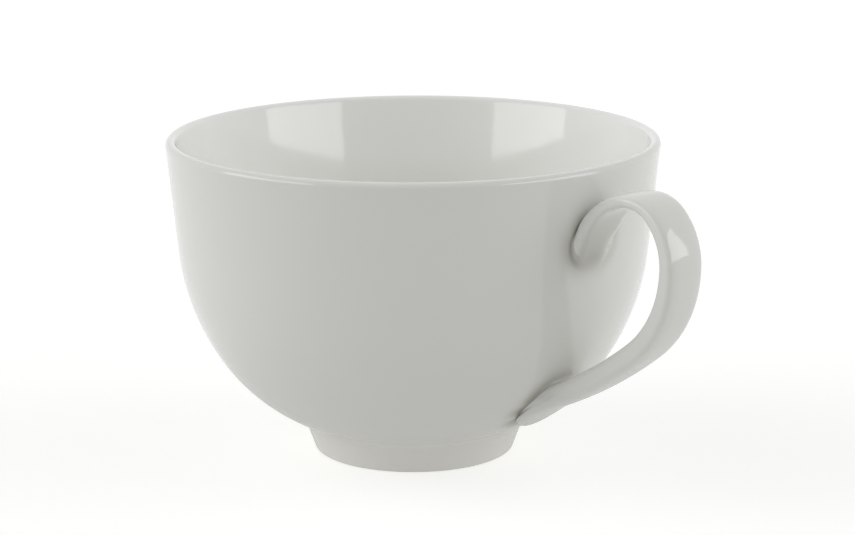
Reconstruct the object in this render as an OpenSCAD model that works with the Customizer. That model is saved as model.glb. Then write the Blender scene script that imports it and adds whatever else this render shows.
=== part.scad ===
// Cappuccino cup of glazed porcelain: a bowl, a foot ring and a strap handle,
// each stuck to the bowl with its own layer of clay slip.
// The cup stands on the XY plane, its axis is Z and its handle points along +X.

/* [Bowl] */
// Outside diameter at the widest part of the lip
rim_d = 105; // [95:0.5:115]
// Height from the table to the top of the lip
cup_h = 68.3; // [62:0.1:76]
// Lean of the upper wall away from the vertical, in degrees
wall_lean = 5.7; // [3:0.1:8]
// Height of the straight upper wall, measured below the lip's rounding
straight_h = 22.8; // [18:0.1:26]
// Lean of the inside of the upper wall, which makes the wall thicker downwards, in degrees
inside_lean = 10.2; // [9:0.1:12]
// Width of the rounded lip
lip_t = 2.2; // [1.6:0.1:3]
// Thickness of the wall at the belly
belly_t = 3.8; // [3:0.1:4.6]
// Thickness of the floor
floor_t = 4; // [3:0.1:5]
// Slope of the bowl where it meets the foot, in degrees above the horizontal
base_slope = 22.4; // [18:0.1:27]

/* [Foot] */
// Outside diameter of the foot where it meets the bowl
foot_d = 47.7; // [44:0.1:52]
// Height of the foot where it meets the bowl
foot_h = 6.7; // [6:0.1:9]
// Lean of the foot's outside away from the vertical, in degrees
foot_lean = 20; // [10:1:26]
// Width of the foot at the table
foot_w = 3.4; // [2.6:0.1:4.5]
// Rounding of the foot's two lower edges
foot_round = 0.9; // [0.4:0.1:1.2]
// Height of the hollow under the floor
recess_h = 5; // [4.5:0.1:5.6]

/* [Handle] */
// Width of the strap
strap_w = 11; // [9:0.1:13]
// Thickness of the strap over the top
strap_top_t = 2.7; // [2.4:0.1:3.4]
// Thickness of the strap near the lower root
strap_tail_t = 4.9; // [4:0.1:5.4]
// Fullness of the strap's section: 2 is an ellipse, and more is squarer
strap_fullness = 2.8; // [2.2:0.1:3.6]
// Distance of the upper root's middle below the top of the lip
upper_root_drop = 14.2; // [12:0.1:18]
// Height of the lower root's middle above the table
lower_root_z = 17.9; // [16:0.1:20]
// Climb of the strap where it leaves the upper root, in degrees above the horizontal
upper_climb = 64; // [50:1:68]
// Straight length of the strap at the upper root
upper_run = 2.9; // [1:0.1:5]
// Bend radius from the upper root to the top of the handle
shoulder_r = 12.1; // [9:0.1:14]
// Bend radius over the top
crown_r = 8.4; // [7:0.1:11]
// Bend radius from the top round to the outermost point
cheek_r = 13.9; // [10:0.1:17]
// Bend radius below the outermost point
elbow_r = 23.6; // [18:0.1:27]
// Bend radius of the sweep to the lower root
tail_r = 104; // [70:1:140]
// Extra thickness under the strap at its upper root
root_swell = 1; // [0.4:0.1:1.6]
// Bend radius from the sweep into the toe, which lies along the bowl below the lower root
toe_r = 42; // [34:1:50]
// Straight length of the toe
toe_l = 3.3; // [2.4:0.1:4.5]
// Angle at which the toe sinks into the bowl, in degrees from the bowl's slope at the root
toe_dive = 10.5; // [8:0.5:13]
// Spread of the toe beyond the strap's width, on each side
toe_spread = 1.5; // [0.6:0.1:2]
// Length over which the toe's end is rounded
toe_round = 7.1; // [5:0.1:8]

/* [Slip] */
// Thickness of each slip layer
slip_t = 0.5; // [0.3:0.1:0.8]

/* [Hidden] */
glaze_colour = "#F2F0EB";
slip_colour = "#EBE8E1";
biscuit_colour = "#E6E1D6";

// Steps along each arc of the bowl, along each bend of the strap and round its section
arc_steps = 12;
bend_steps = 7;
root_steps = 12;
ring_steps = 28;
$fn = 120;

// Plane vectors, as [distance from the axis, height]
function toward(angle) = [cos(angle), sin(angle)];
function square_of(v) = v * v;
function unit(v) = v / norm(v);

// Radius of the circle that leaves point p along the line square to inward and passes q
function radius_through(p, inward, q) = square_of(q - p) / (2 * (inward * (q - p)));

// Points along an arc, between two angles measured down from the horizontal
function arc(centre, r, from, to) = [
    for (k = [0:arc_steps]) centre + r * toward(-from - (to - from) * k / arc_steps)
];

function backwards(list) = [for (k = [len(list) - 1:-1:0]) list[k]];

// The lip and the straight wall, as points of the outside
lip_r = lip_t / 2;
lip_centre = [rim_d / 2 - lip_r, cup_h - lip_r];
wall_out = toward(-wall_lean);
wall_down = toward(-wall_lean - 90);
wall_top = lip_centre + lip_r * wall_out;
wall_bend = wall_top + straight_h / cos(wall_lean) * wall_down;

// The belly is two arcs that run from the straight wall to the foot without a corner
foot_join = [foot_d / 2, foot_h];
base_run = toward(180 + base_slope);
base_in = toward(90 + base_slope);
belly_span = foot_join - wall_bend;
belly_turn = 1 - wall_down * base_run;
belly_pull = belly_span * (wall_down + base_run);
belly_reach =
    (sqrt(square_of(belly_pull) + 2 * belly_turn * square_of(belly_span)) - belly_pull)
    / (2 * belly_turn);
belly_mid = (wall_bend + foot_join + belly_reach * (wall_down - base_run)) / 2;
belly_r = radius_through(wall_bend, -wall_out, belly_mid);
belly_centre = wall_bend - belly_r * wall_out;
base_r = radius_through(foot_join, base_in, belly_mid);
base_centre = foot_join + base_r * base_in;
belly_out = unit(belly_mid - belly_centre);
belly_angle = -atan2(belly_out[1], belly_out[0]);
base_angle = 90 - base_slope;
recess_angle = asin((base_centre[1] - recess_h) / base_r);

// The inside is a cone and an arc that touches the cone and the flat floor, and that
// leaves the wall its thickness at the belly
floor_z = recess_h + floor_t;
inside_top = lip_centre - lip_r * toward(-inside_lean);
inside_corner = [inside_top[0] - (inside_top[1] - floor_z) * tan(inside_lean), floor_z];
inside_span = belly_mid - belly_t * belly_out - inside_corner;
inside_set = (1 - sin(inside_lean)) / cos(inside_lean);
inside_half = inside_span[1] - inside_set * inside_span[0];
inside_r =
    (inside_half + sqrt(square_of(inside_half) - square_of(inside_set) * square_of(inside_span)))
    / square_of(inside_set);
inside_centre = inside_corner + inside_r * [-inside_set, 1];

// Distance of the bowl's outside from the axis at height z
function arc_r(centre, r, z) = centre[0] + sqrt(max(0, square_of(r) - square_of(z - centre[1])));
function wall_r(z) =
    z > wall_bend[1] ? wall_bend[0] + (z - wall_bend[1]) * tan(wall_lean)
    : z > belly_mid[1] ? arc_r(belly_centre, belly_r, z)
    : arc_r(base_centre, base_r, z);

// Outside of the bowl from the lip to the foot, moved out by grow
function side_line(grow) = concat(
    [wall_top + grow * wall_out],
    arc(belly_centre, belly_r + grow, wall_lean, belly_angle),
    arc(base_centre, base_r + grow, belly_angle, base_angle)
);

// Underside of the bowl from the foot to the edge of the flat floor, moved out by grow
function base_line(grow) = arc(base_centre, base_r + grow, base_angle, recess_angle);

// Inside of the bowl from the middle of the floor to its straight wall, and the lip
inside_line = concat(
    [[0, floor_z]],
    backwards(arc(inside_centre, inside_r, inside_lean, 90))
);
lip_line = backwards(arc(lip_centre, lip_r, wall_lean, inside_lean - 180));

// The foot's section
foot_out_r = foot_d / 2 - foot_h * tan(foot_lean);
foot_in_r = foot_out_r - foot_w;
foot_edge = [
    foot_out_r + foot_round * (tan(foot_lean) - 1 / cos(foot_lean)), foot_round
];
foot_inner_edge = [foot_in_r + foot_round, foot_round];
blank_spare = 1;
blank_top = foot_join + blank_spare * [tan(foot_lean), 1];

// The handle's centre line is a straight run and bends that all turn the same way
upper_root_z = cup_h - upper_root_drop;
upper_root = [wall_r(upper_root_z), upper_root_z];
upper_sink = (strap_top_t / 2 + root_swell + slip_t) / tan(90 - wall_lean - upper_climb);
shoulder_start = upper_root + upper_run * toward(upper_climb);
shoulder_centre = shoulder_start + shoulder_r * toward(upper_climb - 90);
crown_point = shoulder_centre + [0, shoulder_r];
crown_centre = crown_point - [0, crown_r];
crown_angle = 45;
cheek_centre = crown_centre + (crown_r - cheek_r) * toward(90 - crown_angle);
elbow_centre = cheek_centre + [cheek_r - elbow_r, 0];

// The tail's circle holds the elbow's inside it, touches it and passes the lower root
lower_root = [wall_r(lower_root_z), lower_root_z];
tail_gap = tail_r - elbow_r;
tail_line = lower_root - elbow_centre;
tail_along = (square_of(tail_gap) - square_of(tail_r) + square_of(tail_line)) / (2 * norm(tail_line));
tail_across = sqrt(square_of(tail_gap) - square_of(tail_along));
tail_dir = unit(tail_line);
tail_centre = elbow_centre + tail_along * tail_dir + tail_across * [tail_dir[1], -tail_dir[0]];
elbow_dir = unit(elbow_centre - tail_centre);
elbow_turn = -atan2(elbow_dir[1], elbow_dir[0]);
root_dir = unit(lower_root - tail_centre);
root_turn = -atan2(root_dir[1], root_dir[0]);
root_depth = strap_w;

// The toe bends the other way, from a little above the lower root
toe_lead = 4.6;
toe_from = -root_turn + toe_lead / tail_r * 180 / PI;
root_out = unit(lower_root - (lower_root_z > belly_mid[1] ? belly_centre : base_centre));
toe_to = atan2(root_out[1], root_out[0]) - toe_dive;
toe_centre = tail_centre + (tail_r + toe_r) * toward(toe_from);
toe_bend_l = toe_r * (toe_to - toe_from) * PI / 180;
toe_corner = toe_centre - toe_r * toward(toe_to);

// Stations of the strap, each a point, the angle of its outer face's normal and its length
// into the toe
function bend(centre, r, from, to, steps) = [
    for (k = [1:steps])
        let (angle = from + (to - from) * k / steps) [centre + r * toward(angle), angle, 0]
];
upper_path = [
    for (k = [0:root_steps])
        let (along = -upper_sink + (upper_sink + upper_run) * k / root_steps)
            [upper_root + along * toward(upper_climb), upper_climb + 90, 0]
];
toe_bend_path = [
    for (k = [1:bend_steps])
        let (share = k / bend_steps, angle = toe_from + (toe_to - toe_from) * share)
            [toe_centre - toe_r * toward(angle), angle, toe_bend_l * share]
];
toe_path = [
    for (k = [1:root_steps])
        let (run = toe_l * sin(90 * k / root_steps))
            [toe_corner + run * toward(toe_to - 90), toe_to, toe_bend_l + run]
];
path = concat(
    upper_path,
    bend(shoulder_centre, shoulder_r, 90 + upper_climb, 90, bend_steps),
    bend(crown_centre, crown_r, 90, 90 - crown_angle, bend_steps),
    bend(cheek_centre, cheek_r, 90 - crown_angle, 0, bend_steps),
    bend(elbow_centre, elbow_r, 0, -elbow_turn, bend_steps),
    bend(tail_centre, tail_r, -elbow_turn, toe_from, root_steps),
    toe_bend_path,
    toe_path
);

// Shares from 0 to 1: of the way from the top to the lower root and into the upper root
function clipped(x) = min(1, max(0, x));
function eased(x) = square_of(clipped(x)) * (3 - 2 * clipped(x));
function tail_share(station) = clipped((90 - station[1]) / (90 + root_turn));
function upper_share(station) =
    station[1] < 90 ? 0 : eased((crown_point[1] - station[0][1]) / (crown_point[1] - upper_root_z));

// The rounding of the toe's end, as a share of its size, which stops short of a point: its
// outline is nearly an ellipse, and its thickness lasts longer
toe_outline_power = 1.9;
toe_face_power = 5;
toe_stub = 0.1;
function toe_end(station, power) =
    let (share = clipped((station[2] - toe_bend_l - toe_l + toe_round) / toe_round))
        max(toe_stub, pow(1 - pow(share, power), 1 / power));

// One point of the strap: across is along the outer face's normal, side is along Y
function place(station, across, side) =
    let (p = station[0] + across * toward(station[1])) [p[0], side, p[1]];

// Ring of points round the strap at one station, on a rounded section that is an ellipse at
// the upper root
function bulged(x, power) = sign(x) * pow(abs(x), power);
function ring(station) =
    let (
        half_t = (strap_top_t + (strap_tail_t - strap_top_t) * tail_share(station)) / 2,
        outer = half_t * toe_end(station, toe_face_power),
        inner = half_t + root_swell * upper_share(station),
        spread_w = strap_w / 2 + toe_spread * eased(station[2] / toe_bend_l),
        half_w = spread_w * toe_end(station, toe_outline_power),
        power = 2 / (strap_fullness + (2 - strap_fullness) * upper_share(station))
    )
        [
            for (k = [0:ring_steps - 1])
                let (angle = 360 * k / ring_steps, across = bulged(cos(angle), power))
                    place(
                        station,
                        across * (across > 0 ? outer : inner),
                        half_w * bulged(sin(angle), power)
                    )
        ];

// Strap from its sunk upper end to its sunk lower end, in flat facets
module strap() {
    rings = [for (station = path) ring(station)];
    count = len(rings[0]);
    last = (len(rings) - 1) * count;
    sides = [
        for (i = [0:len(rings) - 2])
            for (j = [0:count - 1])
                let (
                    a = i * count + j,
                    b = i * count + (j + 1) % count
                )
                    for (face = [[a, b, b + count], [a, b + count, a + count]]) face
    ];
    polyhedron(
        points = [for (points = rings) for (p = points) p],
        faces = concat(
            [[for (j = [count - 1:-1:0]) j]],
            sides,
            [[for (j = [0:count - 1]) last + j]]
        )
    );
}

// Side of the bowl as a layer between two distances outside its surface
module side_layer(outer, inner) {
    rotate_extrude()
        polygon(concat(side_line(outer), backwards(side_line(inner))));
}

// Everything above or below the middle of the handle's opening
module half_space(above) {
    size = 2 * rim_d;
    middle = (upper_root_z + lower_root_z) / 2;
    translate([-size / 2, -size / 2, above ? middle : middle - size]) cube(size);
}

// Space that the bowl's underside takes up, moved out by grow
module underside(grow) {
    line = base_line(grow);
    polygon(concat(
        side_line(grow),
        [for (p = line) if (p[1] > recess_h - grow) p],
        [[line[len(line) - 1][0], recess_h - grow], [0, recess_h - grow], [0, cup_h]]
    ));
}

// Section of the foot before its top is shaped to the bowl
module foot_blank() {
    polygon(concat(
        [[foot_in_r, blank_top[1]]],
        backwards(arc(foot_inner_edge, foot_round, 90, 180)),
        backwards(arc(foot_edge, foot_round, foot_lean, 90)),
        [blank_top]
    ));
}

module bowl() {
    color(glaze_colour)
        rotate_extrude()
            polygon(concat(
                lip_line, side_line(0), base_line(0), [[0, recess_h]], inside_line
            ));
}

module foot_ring() {
    color(biscuit_colour)
        rotate_extrude()
            difference() {
                foot_blank();
                underside(slip_t);
            }
}

module foot_slip() {
    color(slip_colour)
        rotate_extrude()
            difference() {
                intersection() {
                    foot_blank();
                    underside(slip_t);
                }
                underside(0);
            }
}

module handle() {
    color(glaze_colour)
        difference() {
            strap();
            side_layer(slip_t, -root_depth);
        }
}

// Slip under one end of the handle
module handle_slip(above) {
    color(slip_colour)
        intersection() {
            side_layer(slip_t, 0);
            strap();
            half_space(above);
        }
}

module upper_handle_slip() {
    handle_slip(true);
}

module lower_handle_slip() {
    handle_slip(false);
}

bowl();
foot_ring();
foot_slip();
handle();
upper_handle_slip();
lower_handle_slip();
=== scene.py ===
import math

import bpy
import numpy as np
from mathutils import Matrix


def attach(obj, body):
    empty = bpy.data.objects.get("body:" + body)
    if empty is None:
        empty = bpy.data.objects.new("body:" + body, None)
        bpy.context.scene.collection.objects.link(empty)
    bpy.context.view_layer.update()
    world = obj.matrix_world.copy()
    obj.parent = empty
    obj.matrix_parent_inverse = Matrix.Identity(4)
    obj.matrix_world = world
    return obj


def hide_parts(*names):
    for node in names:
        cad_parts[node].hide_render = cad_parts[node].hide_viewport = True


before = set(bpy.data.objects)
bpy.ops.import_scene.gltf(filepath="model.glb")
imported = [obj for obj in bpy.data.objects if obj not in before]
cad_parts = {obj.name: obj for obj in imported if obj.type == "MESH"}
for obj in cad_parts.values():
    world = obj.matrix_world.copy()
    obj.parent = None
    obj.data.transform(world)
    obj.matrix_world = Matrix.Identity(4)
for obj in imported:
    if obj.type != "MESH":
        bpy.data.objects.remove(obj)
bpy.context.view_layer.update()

# A cappuccino cup of glazed porcelain. Lengths are in millimetres until a mesh is made.
# The cup stands on the XY plane, its axis is Z and its handle points along +X.
MM = 0.001

# Bowl
RIM_R = 52.5
CUP_H = 68.3
WALL_LEAN = 5.7
STRAIGHT_H = 22.8
INSIDE_LEAN = 10.2
LIP_R = 1.1
BELLY_T = 3.8
FLOOR_Z = 9.0
BASE_SLOPE = 22.4

# Foot
FOOT_JOIN = np.array([23.85, 6.7])
FOOT_LEAN = 20.0
FOOT_W = 3.4
FOOT_ROUND = 0.9
FOOT_SUNK = 0.6
FOOT_CREASE = 1.6
RECESS_H = 5.0
BARE_H = 0.22

# Share of the inside's painted light, a whiter body colour, on the foot, the height above the foot over which
# it fades on the bowl, and the number of the outline's points over which the lip turns from the wall's white
# to the inside's
FOOT_PAINTED_LIGHT = 0.5
PAINTED_LIGHT_FADE_H = 5.0
LIP_FADE = 6

# Handle
STRAP_W = 10.3
STRAP_TOP_T = 2.7
STRAP_TAIL_T = 4.9
STRAP_FULLNESS = 8.0
STRAP_EDGE_R = 0.7
STRAP_CROWN = 0.5
UPPER_ROOT_Z = 54.1
LOWER_ROOT_Z = 17.9
UPPER_CLIMB = 64.0
UPPER_RUN = 2.9
UPPER_SUNK = 12.0
SHOULDER_R = 12.1
CROWN_R = 8.4
CROWN_END = 45.0
CHEEK_R = 13.9
ELBOW_R = 23.6
TAIL_R = 104.0
ROOT_SWELL = 1.0
ROOT_FLARE = 1.2
TOE_LEAD = 4.6
TOE_R = 42.0
TOE_L = 3.3
TOE_DIVE = 10.5
TOE_SPREAD = 1.5
TOE_ROUND = 7.1
TOE_FACE_POWER = 5.0
TOE_OUTLINE_POWER = 1.9

# Reach of the painted shade beside the handle's roots, and the share of the strap, from its upper
# root, whose hollow inner face is painted darker as shade
ROOT_SHADE_R = 2.4
TONGUE_SHARE = 0.22


def toward(angle):
    """Unit vectors [out from the axis, up] at angles in degrees above the horizontal."""
    turn = np.radians(angle)
    return np.stack([np.cos(turn), np.sin(turn)], axis=-1)


def arc(centre, radius, start, end, spacing):
    """Points about one spacing apart on an arc, between angles measured down from the horizontal."""
    count = max(4, int(abs(math.radians(end - start)) * radius / spacing)) + 1
    return centre + radius * toward(-np.linspace(start, end, count))


def circle_radius(point, inward, other):
    """Radius of the circle that passes point square to inward and also passes other."""
    chord = other - point
    return chord @ chord / (2 * (inward @ chord))


# Outside of the bowl: a straight wall, then two arcs that run to the foot without a corner.
LIP_CENTRE = np.array([RIM_R - LIP_R, CUP_H - LIP_R])
WALL_OUT = toward(-WALL_LEAN)
WALL_DOWN = toward(-WALL_LEAN - 90)
WALL_TOP = LIP_CENTRE + LIP_R * WALL_OUT
WALL_BEND = WALL_TOP + STRAIGHT_H / math.cos(math.radians(WALL_LEAN)) * WALL_DOWN
BASE_RUN = toward(180 + BASE_SLOPE)
BASE_IN = toward(90 + BASE_SLOPE)
span = FOOT_JOIN - WALL_BEND
turn = 1 - WALL_DOWN @ BASE_RUN
pull = span @ (WALL_DOWN + BASE_RUN)
reach = (math.sqrt(pull**2 + 2 * turn * (span @ span)) - pull) / (2 * turn)
BELLY_MID = (WALL_BEND + FOOT_JOIN + reach * (WALL_DOWN - BASE_RUN)) / 2
BELLY_R = circle_radius(WALL_BEND, -WALL_OUT, BELLY_MID)
BELLY_CENTRE = WALL_BEND - BELLY_R * WALL_OUT
BASE_R = circle_radius(FOOT_JOIN, BASE_IN, BELLY_MID)
BASE_CENTRE = FOOT_JOIN + BASE_R * BASE_IN
BELLY_OUT = (BELLY_MID - BELLY_CENTRE) / BELLY_R
BELLY_ANGLE = -math.degrees(math.atan2(BELLY_OUT[1], BELLY_OUT[0]))

# Inside of the bowl: a cone, then one arc that touches the cone and the flat floor.
INSIDE_TOP = LIP_CENTRE - LIP_R * toward(-INSIDE_LEAN)
lean = math.radians(INSIDE_LEAN)
corner = np.array([INSIDE_TOP[0] - (INSIDE_TOP[1] - FLOOR_Z) * math.tan(lean), FLOOR_Z])
span = BELLY_MID - BELLY_T * BELLY_OUT - corner
set_in = (1 - math.sin(lean)) / math.cos(lean)
half = span[1] - set_in * span[0]
INSIDE_R = (half + math.sqrt(half**2 - set_in**2 * (span @ span))) / set_in**2
INSIDE_CENTRE = corner + INSIDE_R * np.array([-set_in, 1])


def wall_r(z):
    """Distance of the bowl's outside from the axis at heights z: the cone, then each circle's arc."""
    cone = WALL_BEND[0] + (z - WALL_BEND[1]) * math.tan(math.radians(WALL_LEAN))
    belly = BELLY_CENTRE[0] + np.sqrt(np.maximum(0, BELLY_R**2 - (z - BELLY_CENTRE[1]) ** 2))
    base = BASE_CENTRE[0] + np.sqrt(np.maximum(0, BASE_R**2 - (z - BASE_CENTRE[1]) ** 2))
    return np.where(z > WALL_BEND[1], cone, np.where(z > BELLY_MID[1], belly, base))


def wall_normal(points):
    """Outward normals of the bowl's outside at points on it: away from the axis, less the wall's slope."""
    z = points[..., 2]
    step = 0.01
    slope = (wall_r(z + step) - wall_r(z - step)) / (2 * step)
    out = points[..., :2] / np.linalg.norm(points[..., :2], axis=-1, keepdims=True)
    normal = np.concatenate([out, -slope[..., None]], axis=-1)
    return normal / np.linalg.norm(normal, axis=-1, keepdims=True)


def onto_wall(points):
    """Moves points level, to or from the axis, until they are on the bowl's outside."""
    flat = points[..., :2] / np.linalg.norm(points[..., :2], axis=-1, keepdims=True)
    return np.concatenate([flat * wall_r(points[..., 2])[..., None], points[..., 2:]], axis=-1)


def grid_faces(rows, columns, close_rows=False):
    """Quads of a grid whose columns join round, and whose rows join round too if close_rows."""
    last = rows if close_rows else rows - 1
    i, j = np.meshgrid(np.arange(last), np.arange(columns), indexing="ij")
    below, beside = (i + 1) % rows, (j + 1) % columns
    quads = np.stack(
        [i * columns + j, i * columns + beside, below * columns + beside, below * columns + j], axis=-1
    )
    return quads.reshape(-1, 4).tolist()


def add_shade(mesh, shade, values):
    """Gives each vertex of a mesh its share of a shade that the glaze reads."""
    layer = mesh.attributes.new(shade, "FLOAT", "POINT")
    layer.data.foreach_set("value", values.astype(np.float32).reshape(-1))


def make_piece(name, points, faces, material, shades=None, normals=None):
    """Puts points in millimetres and faces into a smooth mesh in metres, with shades and normals if given."""
    mesh = bpy.data.meshes.new(name)
    mesh.from_pydata((points.reshape(-1, 3) * MM).tolist(), [], faces)
    mesh.shade_smooth()
    for shade, values in (shades or {}).items():
        add_shade(mesh, shade, values)
    mesh.materials.append(material)
    if normals is not None:
        mesh.normals_split_custom_set_from_vertices(normals.reshape(-1, 3).tolist())
    piece = bpy.data.objects.new(name, mesh)
    bpy.context.scene.collection.objects.link(piece)
    return piece


def spun(outline, columns):
    """Carries an outline of [distance from the axis, height] round the axis, as rows of points."""
    around = np.linspace(0, 2 * math.pi, columns, endpoint=False)
    level = outline[:, None, 0, None] * np.stack([np.cos(around), np.sin(around)], axis=-1)[None]
    height = np.broadcast_to(outline[:, None, 1, None], level.shape[:2] + (1,))
    return np.concatenate([level, height], axis=-1)


def spun_closed(name, outline, material, painted_light_share, columns=256):
    """An outline that starts and ends on the axis, carried round, with a fan of triangles at each pole.

    The share of the inside's painted light, a whiter body colour, is given for each point of the outline.
    """
    rows = spun(outline[1:-1], columns)
    count = rows.shape[0] * columns
    poles = np.array([[0, 0, outline[0, 1]], [0, 0, outline[-1, 1]]])
    faces = grid_faces(rows.shape[0], columns)
    first, second = np.arange(columns), (np.arange(columns) + 1) % columns
    start = np.stack([np.full(columns, count), second, first], axis=-1)
    end = np.stack([np.full(columns, count + 1), count - columns + first, count - columns + second], axis=-1)
    faces += start.tolist() + end.tolist()
    share = np.concatenate([np.repeat(painted_light_share[1:-1], columns), painted_light_share[[0, -1]]])
    points = np.concatenate([rows.reshape(-1, 3), poles])
    return make_piece(name, points, faces, material, {"painted_light_share": share})


def spun_ring(name, outline, material, painted_light_share, facing=None, columns=256):
    """A closed outline that keeps off the axis, carried round into a ring, with its normals if given."""
    rows = spun(outline, columns)
    faces = [face[::-1] for face in grid_faces(rows.shape[0], columns, close_rows=True)]
    painted_light_share = np.full(rows.shape[:2], painted_light_share)
    normals = None if facing is None else spun(facing, columns)
    return make_piece(name, rows, faces, material, {"painted_light_share": painted_light_share}, normals)


def linear(code):
    """Linear colour of an sRGB hex code: each share to the power 2.4, with the standard's straight foot."""
    shares = np.array([int(code[k : k + 2], 16) for k in (1, 3, 5)]) / 255
    light = np.where(shares <= 0.04045, shares / 12.92, ((shares + 0.055) / 1.055) ** 2.4)
    return (*light.tolist(), 1.0)


def add_node(tree, kind, inputs=None, **settings):
    """Adds one node with its settings; inputs maps sockets to values or to other nodes' outputs."""
    made = tree.nodes.new("ShaderNode" + kind)
    for key, value in settings.items():
        setattr(made, key, value)
    for key, value in (inputs or {}).items():
        if isinstance(value, bpy.types.NodeSocket):
            tree.links.new(value, made.inputs[key])
        else:
            made.inputs[key].default_value = value
    return made


def new_material(name):
    """An empty node material and its tree."""
    material = bpy.data.materials.new(name)
    material.use_nodes = True
    material.node_tree.nodes.clear()
    return material, material.node_tree


def per_mm(size):
    """Texture scale, in turns per metre, of a pattern whose features are size millimetres wide."""
    return 1000.0 / size


def glazed_porcelain():
    """White porcelain under a clear fired glaze: a soft white body with sharp, slightly wavy reflections.

    The body drifts between two whites over 40 mm. Inside the bowl and on the foot it is painted whiter and
    creamier, painted light for the light that falls and bounces there. Beside the handle's roots and in
    the hollow of its inner face it is painted darker, painted shade where shade falls. Here and there
    a pinhole shows as a fine grey speck.
    """
    material, tree = new_material("glazed_porcelain")
    place = add_node(tree, "TexCoord").outputs["Object"]
    drift = add_node(tree, "TexNoise", {"Vector": place, "Scale": per_mm(40), "Detail": 2.0})
    body = add_node(
        tree,
        "Mix",
        {0: drift.outputs["Fac"], 6: linear("#E9E9E5"), 7: linear("#E6E6E2")},
        data_type="RGBA",
    )
    # The inside's painted light turns from white to cream from 55 mm down to 15 mm above the table,
    # painted warm light for the light that bounces about the inside's floor.
    height = add_node(tree, "SeparateXYZ", {0: place}).outputs["Z"]
    depth = add_node(tree, "MapRange", {"Value": height, "From Min": 55 * MM, "From Max": 15 * MM})
    white = add_node(
        tree,
        "Mix",
        {0: depth.outputs["Result"], 6: linear("#F8F8F6"), 7: linear("#F8F7EE")},
        data_type="RGBA",
    )
    # Painted light: inside the bowl and on the foot the body turns to the whiter colour, standing in for the
    # light that falls there
    painted_light_share = add_node(tree, "Attribute", attribute_name="painted_light_share")
    body = add_node(
        tree,
        "Mix",
        {0: painted_light_share.outputs["Fac"], 6: body.outputs[2], 7: white.outputs[2]},
        data_type="RGBA",
    )
    # Painted shade: the body darkens towards an olive grey in the creases beside the handle's roots and in
    # the hollow of its inner face, where shade falls
    painted_shade_depth = add_node(tree, "Attribute", attribute_name="painted_shade")
    shaded_body = add_node(
        tree,
        "Mix",
        {0: painted_shade_depth.outputs["Fac"], 6: body.outputs[2], 7: linear("#7C7862")},
        data_type="RGBA",
    )
    # Pinholes are about 0.4 mm across, in cells 11 mm wide.
    cells = add_node(tree, "TexVoronoi", {"Vector": place, "Scale": per_mm(11)}, feature="F1")
    pinhole = add_node(
        tree,
        "MapRange",
        {
            "Value": cells.outputs["Distance"],
            "From Min": 0.014,
            "From Max": 0.024,
            "To Min": 0.45,
            "To Max": 0.0,
        },
    )
    colour = add_node(
        tree,
        "Mix",
        {0: pinhole.outputs["Result"], 6: shaded_body.outputs[2], 7: linear("#8C8A80")},
        data_type="RGBA",
    )
    # The glaze's skin is wavy over about 7 mm, and its gloss changes over about 15 mm.
    waves = add_node(tree, "TexNoise", {"Vector": place, "Scale": per_mm(7), "Detail": 1.0})
    skin = add_node(tree, "Bump", {"Strength": 1.0, "Distance": 0.00002, "Height": waves.outputs["Fac"]})
    gloss = add_node(tree, "TexNoise", {"Vector": place, "Scale": per_mm(15), "Detail": 2.0})
    rough = add_node(
        tree, "MapRange", {"Value": gloss.outputs["Fac"], "To Min": 0.05, "To Max": 0.11}
    )
    shader = add_node(
        tree,
        "BsdfPrincipled",
        {
            "Base Color": colour.outputs[2],
            "Roughness": rough.outputs["Result"],
            "Normal": skin.outputs["Normal"],
            "IOR": 1.55,
        },
    )
    add_node(tree, "OutputMaterial", {"Surface": shader.outputs["BSDF"]})
    return material


def biscuit_porcelain():
    """Bare fired porcelain where the foot was wiped clean of glaze: matt, a little grey and finely gritty."""
    material, tree = new_material("biscuit_porcelain")
    place = add_node(tree, "TexCoord").outputs["Object"]
    grit = add_node(tree, "TexNoise", {"Vector": place, "Scale": per_mm(0.6), "Detail": 3.0})
    colour = add_node(
        tree,
        "Mix",
        {0: grit.outputs["Fac"], 6: linear("#DAD6CB"), 7: linear("#C9C4B7")},
        data_type="RGBA",
    )
    rough = add_node(
        tree, "MapRange", {"Value": grit.outputs["Fac"], "To Min": 0.7, "To Max": 0.9}
    )
    skin = add_node(tree, "Bump", {"Strength": 0.5, "Distance": 0.00005, "Height": grit.outputs["Fac"]})
    shader = add_node(
        tree,
        "BsdfPrincipled",
        {
            "Base Color": colour.outputs[2],
            "Roughness": rough.outputs["Result"],
            "Normal": skin.outputs["Normal"],
            "IOR": 1.5,
        },
    )
    add_node(tree, "OutputMaterial", {"Surface": shader.outputs["BSDF"]})
    return material


glaze = glazed_porcelain()
biscuit = biscuit_porcelain()


def bowl_outline():
    """From under the floor out along the base, up the belly and wall, over the lip and down the inside."""
    recess_angle = math.degrees(math.asin((BASE_CENTRE[1] - RECESS_H) / BASE_R))
    recess_r = BASE_CENTRE[0] + BASE_R * math.cos(math.radians(recess_angle))
    wall_steps = np.linspace(0, 1, 24)[1:-1, None]
    parts = [
        np.stack([np.linspace(0, recess_r, 16), np.full(16, RECESS_H)], axis=-1),
        arc(BASE_CENTRE, BASE_R, recess_angle, BELLY_ANGLE, 0.8)[1:],
        arc(BELLY_CENTRE, BELLY_R, BELLY_ANGLE, WALL_LEAN, 0.8)[1:],
        WALL_BEND + wall_steps * (WALL_TOP - WALL_BEND),
        arc(LIP_CENTRE, LIP_R, WALL_LEAN, INSIDE_LEAN - 180, 0.16),
    ]
    inside = arc(INSIDE_CENTRE, INSIDE_R, INSIDE_LEAN, 90, 0.8)
    parts += [
        INSIDE_TOP + wall_steps * (inside[0] - INSIDE_TOP),
        inside,
        np.stack([np.linspace(inside[-1, 0], 0, 10)[1:], np.full(9, FLOOR_Z)], axis=-1),
    ]
    return np.concatenate(parts)


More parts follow.
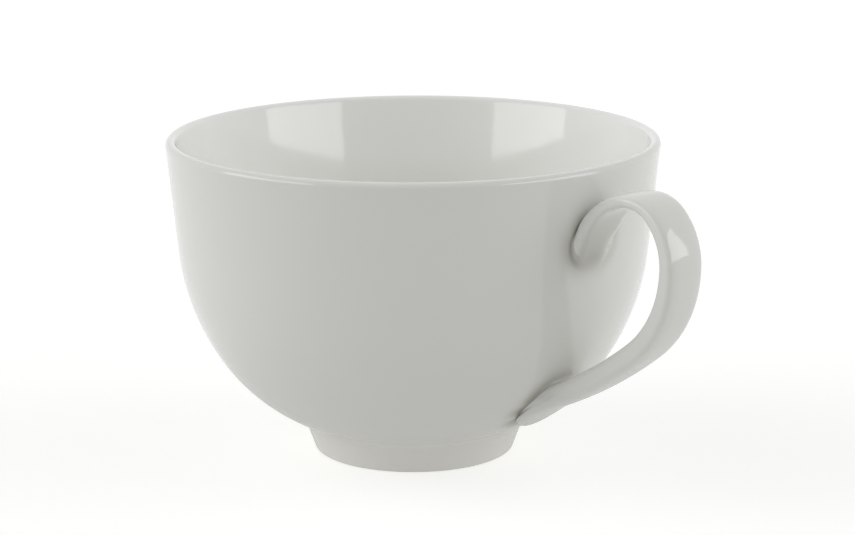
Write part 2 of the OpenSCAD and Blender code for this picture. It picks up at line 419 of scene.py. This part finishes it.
def bezier(points, shares):
    """Cubic curves through stacked control points, at each share of their length."""
    t = shares.reshape((-1,) + (1,) * (points[0].ndim))
    a, b, c, d = points
    return (1 - t) ** 3 * a + 3 * (1 - t) ** 2 * t * b + 3 * (1 - t) * t**2 * c + t**3 * d


FOOT_OUT = toward(-FOOT_LEAN)
FOOT_BOTTOM_R = FOOT_JOIN[0] - FOOT_JOIN[1] * math.tan(math.radians(FOOT_LEAN))
FOOT_INNER_R = FOOT_BOTTOM_R - FOOT_W


def foot_outline():
    """Down the foot's leaning outside, round its lower edges and up its upright inside, into the bowl."""
    lean = math.radians(FOOT_LEAN)
    edge = np.array([FOOT_BOTTOM_R + FOOT_ROUND * (math.tan(lean) - 1 / math.cos(lean)), FOOT_ROUND])
    inner = np.array([FOOT_INNER_R + FOOT_ROUND, FOOT_ROUND])
    top = FOOT_JOIN + FOOT_SUNK * np.array([math.tan(lean), 1])
    outer = arc(edge, FOOT_ROUND, FOOT_LEAN, 90, 0.12)
    shares = np.linspace(0, 1, 14)[:-1, None]
    heights = np.linspace(FOOT_ROUND, RECESS_H + FOOT_SUNK, 11)[1:]
    rise = np.stack([np.full(10, FOOT_INNER_R), heights], axis=-1)
    slope = top + shares * (outer[0] - top)
    return np.concatenate([slope, outer, arc(inner, FOOT_ROUND, 90, 180, 0.12), rise])


def crease_outline(size):
    """A hollow curve that fills the corner above the foot and leaves both faces without an edge, closed
    inside the clay."""
    rise = BASE_SLOPE + math.degrees(size / BASE_R)
    start = BASE_CENTRE + BASE_R * toward(rise - 90)
    end = FOOT_JOIN + size * toward(-90 - FOOT_LEAN)
    hold = 0.6 * size
    curve = bezier(
        [start, start - hold * toward(rise), end + hold * toward(90 - FOOT_LEAN), end], np.linspace(0, 1, 15)
    )
    inner = FOOT_JOIN - 0.35 * size * (toward(BASE_SLOPE) + toward(-90 - FOOT_LEAN))
    return np.concatenate([curve, inner[None]])


outline = bowl_outline()
lip = int(np.argmax(outline[:, 1]))
# Painted light: the whiter body colour is full inside the bowl, turning over the lip, and half on the foot,
# fading over 5 mm above it
inside = np.clip((np.arange(len(outline)) - lip) / LIP_FADE + 0.5, 0, 1)
near_foot = FOOT_PAINTED_LIGHT * np.clip((FOOT_JOIN[1] + PAINTED_LIGHT_FADE_H - outline[:, 1]) / PAINTED_LIGHT_FADE_H, 0, 1)
bowl = spun_closed("glazed_bowl", outline, glaze, np.maximum(inside, near_foot))
foot = spun_ring("foot_ring_glazed", foot_outline(), glaze, FOOT_PAINTED_LIGHT)
foot.data.materials.append(biscuit)
heights = np.array([face.center[2] for face in foot.data.polygons]) / MM
foot.data.polygons.foreach_set("material_index", (heights < BARE_H).astype(np.int32))

# The crease's curve faces square to its steps, and its last point, in the clay, faces the other way.
crease = crease_outline(FOOT_CREASE)
step = np.gradient(crease[:-1], axis=0)
facing = np.stack([-step[:, 1], step[:, 0]], axis=-1) / np.linalg.norm(step, axis=-1, keepdims=True)
facing = np.concatenate([facing, -facing[[len(facing) // 2]]])
foot_crease = spun_ring("foot_crease_fillet", crease, glaze, FOOT_PAINTED_LIGHT, facing)


# The strap's centre line: a straight run and bends that all turn the same way.
UPPER_ROOT = np.array([float(wall_r(UPPER_ROOT_Z)), UPPER_ROOT_Z])
LOWER_ROOT = np.array([float(wall_r(LOWER_ROOT_Z)), LOWER_ROOT_Z])
SHOULDER_CENTRE = UPPER_ROOT + UPPER_RUN * toward(UPPER_CLIMB) + SHOULDER_R * toward(UPPER_CLIMB - 90)
CROWN_CENTRE = SHOULDER_CENTRE + np.array([0, SHOULDER_R - CROWN_R])
CHEEK_CENTRE = CROWN_CENTRE + (CROWN_R - CHEEK_R) * toward(CROWN_END)
ELBOW_CENTRE = CHEEK_CENTRE + np.array([CHEEK_R - ELBOW_R, 0])
gap = TAIL_R - ELBOW_R
line = LOWER_ROOT - ELBOW_CENTRE
along = (gap**2 - TAIL_R**2 + line @ line) / (2 * np.linalg.norm(line))
line_dir = line / np.linalg.norm(line)
TAIL_CENTRE = (
    ELBOW_CENTRE + along * line_dir + math.sqrt(gap**2 - along**2) * np.array([line_dir[1], -line_dir[0]])
)
ELBOW_TURN = math.degrees(math.atan2(*(TAIL_CENTRE - ELBOW_CENTRE)[::-1] * [1, -1]))
ROOT_TURN = math.degrees(math.atan2(*(TAIL_CENTRE - LOWER_ROOT)[::-1] * [1, -1]))

# The toe bends the other way, from a little above the lower root, and lies along the bowl.
TOE_FROM = -ROOT_TURN + math.degrees(TOE_LEAD / TAIL_R)
root_out = LOWER_ROOT - (BELLY_CENTRE if LOWER_ROOT_Z > BELLY_MID[1] else BASE_CENTRE)
TOE_TO = math.degrees(math.atan2(root_out[1], root_out[0])) - TOE_DIVE
TOE_CENTRE = TAIL_CENTRE + (TAIL_R + TOE_R) * toward(TOE_FROM)


def strap_stations(spacing=0.2):
    """Centre line as rows of [out, up, angle of the outer face's normal]."""
    run = np.arange(-UPPER_SUNK, UPPER_RUN, spacing)
    straight = UPPER_ROOT + run[:, None] * toward(UPPER_CLIMB)
    rows = [np.column_stack([straight, np.full(len(run), UPPER_CLIMB + 90)])]
    for centre, radius, start, end in [
        (SHOULDER_CENTRE, SHOULDER_R, 90 + UPPER_CLIMB, 90),
        (CROWN_CENTRE, CROWN_R, 90, CROWN_END),
        (CHEEK_CENTRE, CHEEK_R, CROWN_END, 0),
        (ELBOW_CENTRE, ELBOW_R, 0, -ELBOW_TURN),
        (TAIL_CENTRE, TAIL_R, -ELBOW_TURN, TOE_FROM),
        (TOE_CENTRE, -TOE_R, TOE_FROM, TOE_TO),
    ]:
        count = int(math.radians(start - end) * radius / spacing) + 1
        angle = np.linspace(start, end, count + 1)[:-1]
        rows.append(np.column_stack([centre + radius * toward(angle), angle]))
    run = np.linspace(0, TOE_L, 40)
    straight = TOE_CENTRE - TOE_R * toward(TOE_TO) + run[:, None] * toward(TOE_TO - 90)
    rows.append(np.column_stack([straight, np.full(len(run), TOE_TO)]))
    return np.concatenate(rows)


STATIONS = strap_stations()
STEP = np.concatenate([[0], np.cumsum(np.linalg.norm(np.diff(STATIONS[:, :2], axis=0), axis=1))])
AROUND = np.linspace(0, 2 * math.pi, 96, endpoint=False)


def eased(share):
    """Goes from 0 to 1 without a corner: three squares less two cubes of the share."""
    share = np.clip(share, 0, 1)
    return share**2 * (3 - 2 * share)


def strap_section(s):
    """Where the skin's columns lie at lengths s: centre and angle, then across and side with their normal.

    The section is a superellipse, cosine and sine each to the power two over its fullness, set out by
    the radius of the strap's edges, and its outer face is crowned by a parabola. It grows thicker
    towards the tail. At the upper root it is an ellipse with a swollen inner half and a wider near
    side, and below the lower root it spreads into a toe with a rounded end.
    """
    out, up, angle = (np.interp(s, STEP, STATIONS[:, k]) for k in range(3))
    tail = np.clip((90 - angle) / (90 + ROOT_TURN), 0, 1)
    half_t = (STRAP_TOP_T + (STRAP_TAIL_T - STRAP_TOP_T) * tail) / 2
    top = CROWN_CENTRE[1] + CROWN_R
    rooted = np.where(angle < 90, 0, eased((top - up) / (top - UPPER_ROOT_Z)))
    toe_bend = TOE_R * math.radians(TOE_TO - TOE_FROM)
    toe_end = np.clip((s - STEP[-1] + TOE_ROUND) / TOE_ROUND, 0, 0.9999)
    outer = half_t * (1 - toe_end**TOE_FACE_POWER) ** (1 / TOE_FACE_POWER)
    spread_w = STRAP_W / 2 + TOE_SPREAD * eased((s - STEP[-1] + TOE_L + toe_bend) / toe_bend)
    half_w = spread_w * (1 - toe_end**TOE_OUTLINE_POWER) ** (1 / TOE_OUTLINE_POWER)
    inner = half_t + ROOT_SWELL * rooted
    power = 2 / (STRAP_FULLNESS + (2 - STRAP_FULLNESS) * rooted)
    cosine, sine = np.cos(AROUND), np.sin(AROUND)
    edge = np.minimum(STRAP_EDGE_R * (1 - rooted), 0.5 * np.minimum(outer, half_w))
    crown = np.where(cosine > 0, STRAP_CROWN * (1 - rooted) * outer / half_t, 0)
    half = np.where(cosine > 0, outer, inner) - crown - edge
    half_w = half_w - edge
    normal_across = np.sign(cosine) * np.abs(cosine) ** (2 - power) / half
    normal_side = np.sign(sine) * np.abs(sine) ** (2 - power) / half_w
    length = np.hypot(normal_across, normal_side)
    side = half_w * np.sign(sine) * np.abs(sine) ** power + edge * normal_side / length
    side *= np.where(sine < 0, 1 + ROOT_FLARE * rooted / (half_w + edge), 1)
    across = half * np.sign(cosine) * np.abs(cosine) ** power + edge * normal_across / length
    across += crown * (1 - np.minimum(1, (side / (half_w + edge)) ** 2))
    return out, up, angle, across, side, normal_across, normal_side


def strap_points(s):
    """Points of the strap's skin at lengths s along its centre line, an array of rows by columns."""
    out, up, angle, across, side, _, _ = strap_section(s)
    face = toward(angle)
    return np.stack([out + across * face[..., 0], side, up + across * face[..., 1]], axis=-1)


def root_lengths():
    """Length along the centre line at which each column of the strap enters the bowl, at both ends."""
    s = np.broadcast_to(STEP[:, None], (len(STEP), len(AROUND)))
    points = strap_points(s)
    clear = np.hypot(points[..., 0], points[..., 1]) - wall_r(points[..., 2])
    crown = int(np.argmax(STATIONS[:, 1]))
    upper = np.sum(clear[:crown] < 0, axis=0)
    lower = len(STEP) - np.sum(clear[crown:] < 0, axis=0)
    columns = np.arange(len(AROUND))

    def crossing(after):
        before = after - 1
        a, b = clear[before, columns], clear[after, columns]
        return STEP[before] + (STEP[after] - STEP[before]) * a / (a - b)

    return crossing(upper), crossing(lower)


def root_fillet(s_start, s_root, spread, hug, shares):
    """Fillet from the strap at s_start to the bowl: a curve in each column that leaves the strap along
    its length, turns in the corner at s_root and lies along the bowl at the given spread from it.
    The more it hugs the corner, the sharper is the crease."""
    start = strap_points(s_start[None])[0]
    corner_point = onto_wall(strap_points(s_root[None])[0])
    toward_root = np.sign(s_root - s_start)
    ahead = strap_points((s_start + 0.05 * toward_root)[None])[0] - start
    ahead /= np.linalg.norm(ahead, axis=-1, keepdims=True)
    _, _, angle, _, _, across, side = (part[0] for part in strap_section(s_root[None]))
    face = toward(angle)
    out = np.stack([across * face[:, 0], side, across * face[:, 1]], axis=-1)
    normal = wall_normal(corner_point)
    out -= np.sum(out * normal, axis=-1, keepdims=True) * normal
    out /= np.linalg.norm(out, axis=-1, keepdims=True)
    end = onto_wall(corner_point + spread[:, None] * out)
    normal = wall_normal(end)
    back = corner_point - end
    back -= np.sum(back * normal, axis=-1, keepdims=True) * normal
    reach = np.linalg.norm(corner_point - start, axis=-1, keepdims=True)
    hug = hug[:, None]
    curve = bezier([start, start + hug * reach * ahead, end + hug * back, end], shares)
    sunk = onto_wall(end - 0.4 * back / np.linalg.norm(back, axis=-1, keepdims=True)) - 0.15 * normal
    return np.concatenate([curve, sunk[None]])


def by_side(outer, near, inner, far=None):
    """A size for each column: the squares of its cosine and sine blend the sizes of the four sides."""
    across, side = np.cos(AROUND), np.sin(AROUND)
    sides = np.where(side < 0, near, near if far is None else far)
    return outer * np.maximum(across, 0) ** 2 + sides * side**2 + inner * np.minimum(across, 0) ** 2


def root_shade(points):
    """Depth of the painted shade beside the roots, at rows of points: a bell of the distance to their
    corners.
    """
    shade = np.zeros(len(points))
    for lengths, depths in zip(root_lengths(), (by_side(0.3, 0.45, 0.1), by_side(0.1, 0.65, 0.3))):
        for corner, depth in zip(onto_wall(strap_points(lengths[None])[0]), depths):
            gap = np.linalg.norm(points - corner, axis=-1)
            shade = np.maximum(shade, depth * np.exp(-((gap / ROOT_SHADE_R) ** 2)))
    return shade


def make_handle():
    """The strap and its two root fillets, cut from one grid so that their normals run on.

    Each fillet's sizes are given for the strap's outer face, near side, inner face and far side.
    """
    upper_root, lower_root = root_lengths()
    upper_start = upper_root + by_side(1.4, 1.0, 3.0, 2.4)
    lower_start = lower_root - by_side(0.7, 1.0, 3.0)
    shares = np.linspace(0, 1, 19)
    upper_hug = by_side(0.9, 0.85, 0.6, 0.5)
    lower_hug = by_side(0.7, 0.75, 0.6)
    upper = root_fillet(upper_start, upper_root, by_side(2.4, 2.4, 2.4), upper_hug, shares)[::-1]
    lower = root_fillet(lower_start, lower_root, by_side(0.8, 1.6, 2.4), lower_hug, shares)
    rows = 1 - np.linspace(1, 0, 320)[:, None] ** 1.6
    strap = strap_points(upper_start + rows * (lower_start - upper_start))
    grid = np.concatenate([upper[:-1], strap, lower[1:]])
    along = np.gradient(grid, axis=0)
    around = (np.roll(grid, -1, axis=1) - np.roll(grid, 1, axis=1)) / 2
    normals = np.cross(along, around)
    normals /= np.linalg.norm(normals, axis=-1, keepdims=True)
    on_wall = [0, 1, -2, -1]
    normals[on_wall] = wall_normal(grid[on_wall])
    # Painted shade: the fillets darken in their creases, most on the outer face and near side, and the
    # strap's inner face darkens in its hollow near the upper root, where shade falls
    bulge = np.concatenate([[0], np.sin(math.pi * shares[::-1]) ** 2])[:, None]
    upper_painted_shade = bulge * by_side(0.8, 0.7, 0.0, 0.1)
    lower_painted_shade = bulge[::-1] * by_side(0.3, 0.7, 0.1)
    hollow = by_side(0, 0, 0.45)
    upper_painted_shade += np.concatenate([[0], eased(1 - shares[::-1])])[:, None] * hollow
    tongue = np.clip(1 - rows / TONGUE_SHARE, 0, 1) ** 2 * hollow
    cut = len(upper)
    end = cut + len(strap) - 1

    def with_root_shade(painted_shade_depth, part):
        return np.maximum(painted_shade_depth, root_shade(part.reshape(-1, 3)).reshape(painted_shade_depth.shape))

    pieces = []
    for name, first, last, depth in [
        ("upper_root_fillet", 0, cut, with_root_shade(upper_painted_shade, grid[:cut])),
        ("strap_handle", cut - 1, end, tongue),
        ("lower_root_fillet", end - 1, len(grid), with_root_shade(lower_painted_shade, grid[end - 1 :])),
    ]:
        points = grid[first:last]
        faces = [face[::-1] for face in grid_faces(len(points), len(AROUND))]
        pieces.append(make_piece(name, points, faces, glaze, {"painted_shade": depth}, normals[first:last]))
    return pieces


upper_fillet, strap, lower_fillet = make_handle()

# Painted shade: the bowl's outside is painted darker beside the handle's roots, where shade falls, and the
# inside is left out.
points = np.empty(3 * len(bowl.data.vertices), dtype=np.float32)
bowl.data.vertices.foreach_get("co", points)
painted_light_share = np.empty(len(bowl.data.vertices), dtype=np.float32)
bowl.data.attributes["painted_light_share"].data.foreach_get("value", painted_light_share)
add_shade(bowl.data, "painted_shade", root_shade(points.reshape(-1, 3) / MM) * (1 - painted_light_share))

for piece, node, slot in [
    (bowl, "bowl", "porcelain"),
    (foot, "foot_ring", "porcelain"),
    (foot_crease, "foot_slip", "slip"),
    (strap, "handle", "porcelain"),
    (upper_fillet, "upper_handle_slip", "slip"),
    (lower_fillet, "lower_handle_slip", "slip"),
]:
    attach(piece, "root")
    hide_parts(node)

# Camera at the photograph's place: its bearing is counted from the handle's direction.
BEARING = math.radians(44.4)
ELEVATION = math.radians(13.207)
ROLL = math.radians(-0.165)
DISTANCE = 559.4
TARGET = (2.98, 39.37)
FOCAL_PIXELS = 2600.0
IMAGE_WIDTH = 855.0
SENSOR = 36.0

image_right = np.array([math.cos(BEARING), math.sin(BEARING), 0])
level_back = np.array([math.sin(BEARING), -math.cos(BEARING), 0])
back = level_back * math.cos(ELEVATION) + np.array([0, 0, math.sin(ELEVATION)])
image_up = np.cross(back, image_right)
rolled_right = math.cos(ROLL) * image_right + math.sin(ROLL) * image_up
rolled_up = np.cross(back, rolled_right)
eye = TARGET[0] * image_right + np.array([0, 0, TARGET[1]]) + DISTANCE * back

camera = bpy.data.objects.new("camera", bpy.data.cameras.new("camera"))
camera.data.sensor_fit = "HORIZONTAL"
camera.data.sensor_width = SENSOR
camera.data.lens = FOCAL_PIXELS / IMAGE_WIDTH * SENSOR
camera.data.clip_start = 0.01
frame_matrix = np.eye(4)
frame_matrix[:3, :3] = np.stack([rolled_right, rolled_up, back], axis=1)
frame_matrix[:3, 3] = eye * MM
camera.matrix_world = Matrix(frame_matrix.tolist())
bpy.context.scene.collection.objects.link(camera)
bpy.context.scene.camera = camera


# Two upright panels, one on each side, at the same height and of the same radiance
PANEL_ASIDE = 311.0
PANEL_Z = 148.0
PANEL_H = 172.0
PANEL_RADIANCE = 2.3


def light_panel(name, aside, ahead, width):
    """An upright panel that shows in the glaze only, at distances aside of the cup and ahead of it."""
    axis = math.copysign(1.0, aside) * image_right
    across = np.cross([0, 0, 1], axis)
    lamp = bpy.data.lights.new(name, "AREA")
    lamp.shape = "RECTANGLE"
    lamp.size = width * MM
    lamp.size_y = PANEL_H * MM
    lamp.energy = PANEL_RADIANCE * math.pi * lamp.size * lamp.size_y
    holder = bpy.data.objects.new(name, lamp)
    matrix = np.eye(4)
    matrix[:3, :3] = np.stack([across, np.cross(axis, across), axis], axis=1)
    matrix[:3, 3] = (aside * image_right + ahead * level_back + np.array([0, 0, PANEL_Z])) * MM
    holder.matrix_world = Matrix(matrix.tolist())
    holder.visible_camera = False
    holder.visible_diffuse = False
    bpy.context.scene.collection.objects.link(holder)


light_panel("panel_right", PANEL_ASIDE, 206, 358)
light_panel("panel_left", -PANEL_ASIDE, 165, 318)

# Light of the room all round, of its two sides, which stand at an angle above the level, and of the
# table from below
ROOM_LEVEL = 0.36
RIGHT_LEVEL = 1.6
LEFT_LEVEL = 2.0
SIDE_RISE = 30.0
SIDE_POWER = 8.0
TABLE_LEVEL = 0.43

# Glow of the table as the camera sees it, and in reflections near the foot, dimmed there as a painted shadow
# of the cup, and away from the cup
TABLE_SEEN = 0.58
TABLE_NEAR = 0.2
TABLE_AWAY = 0.56


def shows_white(tree):
    """1 for what the camera, a reflection or a clear view sees, and 0 for light that falls on the cup."""
    path = add_node(tree, "LightPath")
    direct = add_node(
        tree,
        "Math",
        {0: path.outputs["Is Camera Ray"], 1: path.outputs["Is Glossy Ray"]},
        operation="MAXIMUM",
    )
    seen = add_node(
        tree, "Math", {0: direct.outputs[0], 1: path.outputs["Is Transmission Ray"]}, operation="MAXIMUM"
    )
    return seen.outputs[0]


def studio_world():
    """A white room whose light comes from all round, and more from the left and the right.

    The light of each side is the eighth power of the cosine from that side's direction.
    """
    world = bpy.data.worlds.new("studio")
    world.use_nodes = True
    tree = world.node_tree
    tree.nodes.clear()
    direction = add_node(tree, "TexCoord").outputs["Generated"]
    level = ROOM_LEVEL
    rise = math.radians(SIDE_RISE)
    for side, side_level in ((image_right, RIGHT_LEVEL), (-image_right, LEFT_LEVEL)):
        source = math.cos(rise) * side + np.array([0, 0, math.sin(rise)])
        cosine = add_node(
            tree, "VectorMath", {0: direction, 1: tuple(source.tolist())}, operation="DOT_PRODUCT"
        )
        facing = add_node(tree, "Math", {0: cosine.outputs["Value"], 1: 0.0}, operation="MAXIMUM")
        lobe = add_node(tree, "Math", {0: facing.outputs[0], 1: SIDE_POWER}, operation="POWER")
        level = add_node(
            tree, "Math", {0: lobe.outputs[0], 1: side_level, 2: level}, operation="MULTIPLY_ADD"
        ).outputs[0]
    strength = add_node(tree, "Mix", {0: shows_white(tree), 2: level, 3: 1.0}, data_type="FLOAT")
    light = add_node(
        tree, "Background", {"Color": (1.0, 1.0, 1.0, 1.0), "Strength": strength.outputs[0]}
    )
    add_node(tree, "OutputWorld", {"Surface": light.outputs["Background"]})
    bpy.context.scene.world = world


studio_world()


def studio_floor():
    """A lit table: white where it is seen, with the cup's shadow on it, and dimmer as a light from below.

    In reflections its glow fades under the cup, a painted shadow of the cup on the table.
    """
    material, tree = new_material("lit_table_top")
    seen = shows_white(tree)
    tone = add_node(
        tree, "Mix", {0: seen, 6: linear("#8A8A88"), 7: linear("#CCCCCA")}, data_type="RGBA"
    )
    paper = add_node(tree, "BsdfDiffuse", {"Color": tone.outputs[2]})
    place = add_node(tree, "TexCoord").outputs["Object"]
    away = add_node(tree, "VectorMath", {0: place}, operation="LENGTH")
    # Painted shadow: in reflections the table's glow fades from 90 mm to 25 mm from the cup's axis
    mirrored = add_node(
        tree,
        "MapRange",
        {
            "Value": away.outputs["Value"],
            "From Min": 25 * MM,
            "From Max": 90 * MM,
            "To Min": TABLE_NEAR,
            "To Max": TABLE_AWAY,
        },
        interpolation_type="SMOOTHSTEP",
    )
    path = add_node(tree, "LightPath")
    bright = add_node(
        tree,
        "Mix",
        {0: path.outputs["Is Camera Ray"], 2: mirrored.outputs["Result"], 3: TABLE_SEEN},
        data_type="FLOAT",
    )
    glow = add_node(tree, "Mix", {0: seen, 2: TABLE_LEVEL, 3: bright.outputs[0]}, data_type="FLOAT")
    light = add_node(tree, "Emission", {"Color": (1.0, 1.0, 1.0, 1.0), "Strength": glow.outputs[0]})
    both = add_node(tree, "AddShader", {0: paper.outputs[0], 1: light.outputs[0]})
    add_node(tree, "OutputMaterial", {"Surface": both.outputs[0]})
    reach = 4000.0
    corners = np.array([[-reach, -reach, 0], [reach, -reach, 0], [reach, reach, 0], [-reach, reach, 0]])
    floor = make_piece("studio_floor", corners, [[0, 1, 2, 3]], material)


studio_floor()

bpy.context.scene.view_settings.view_transform = "Standard"
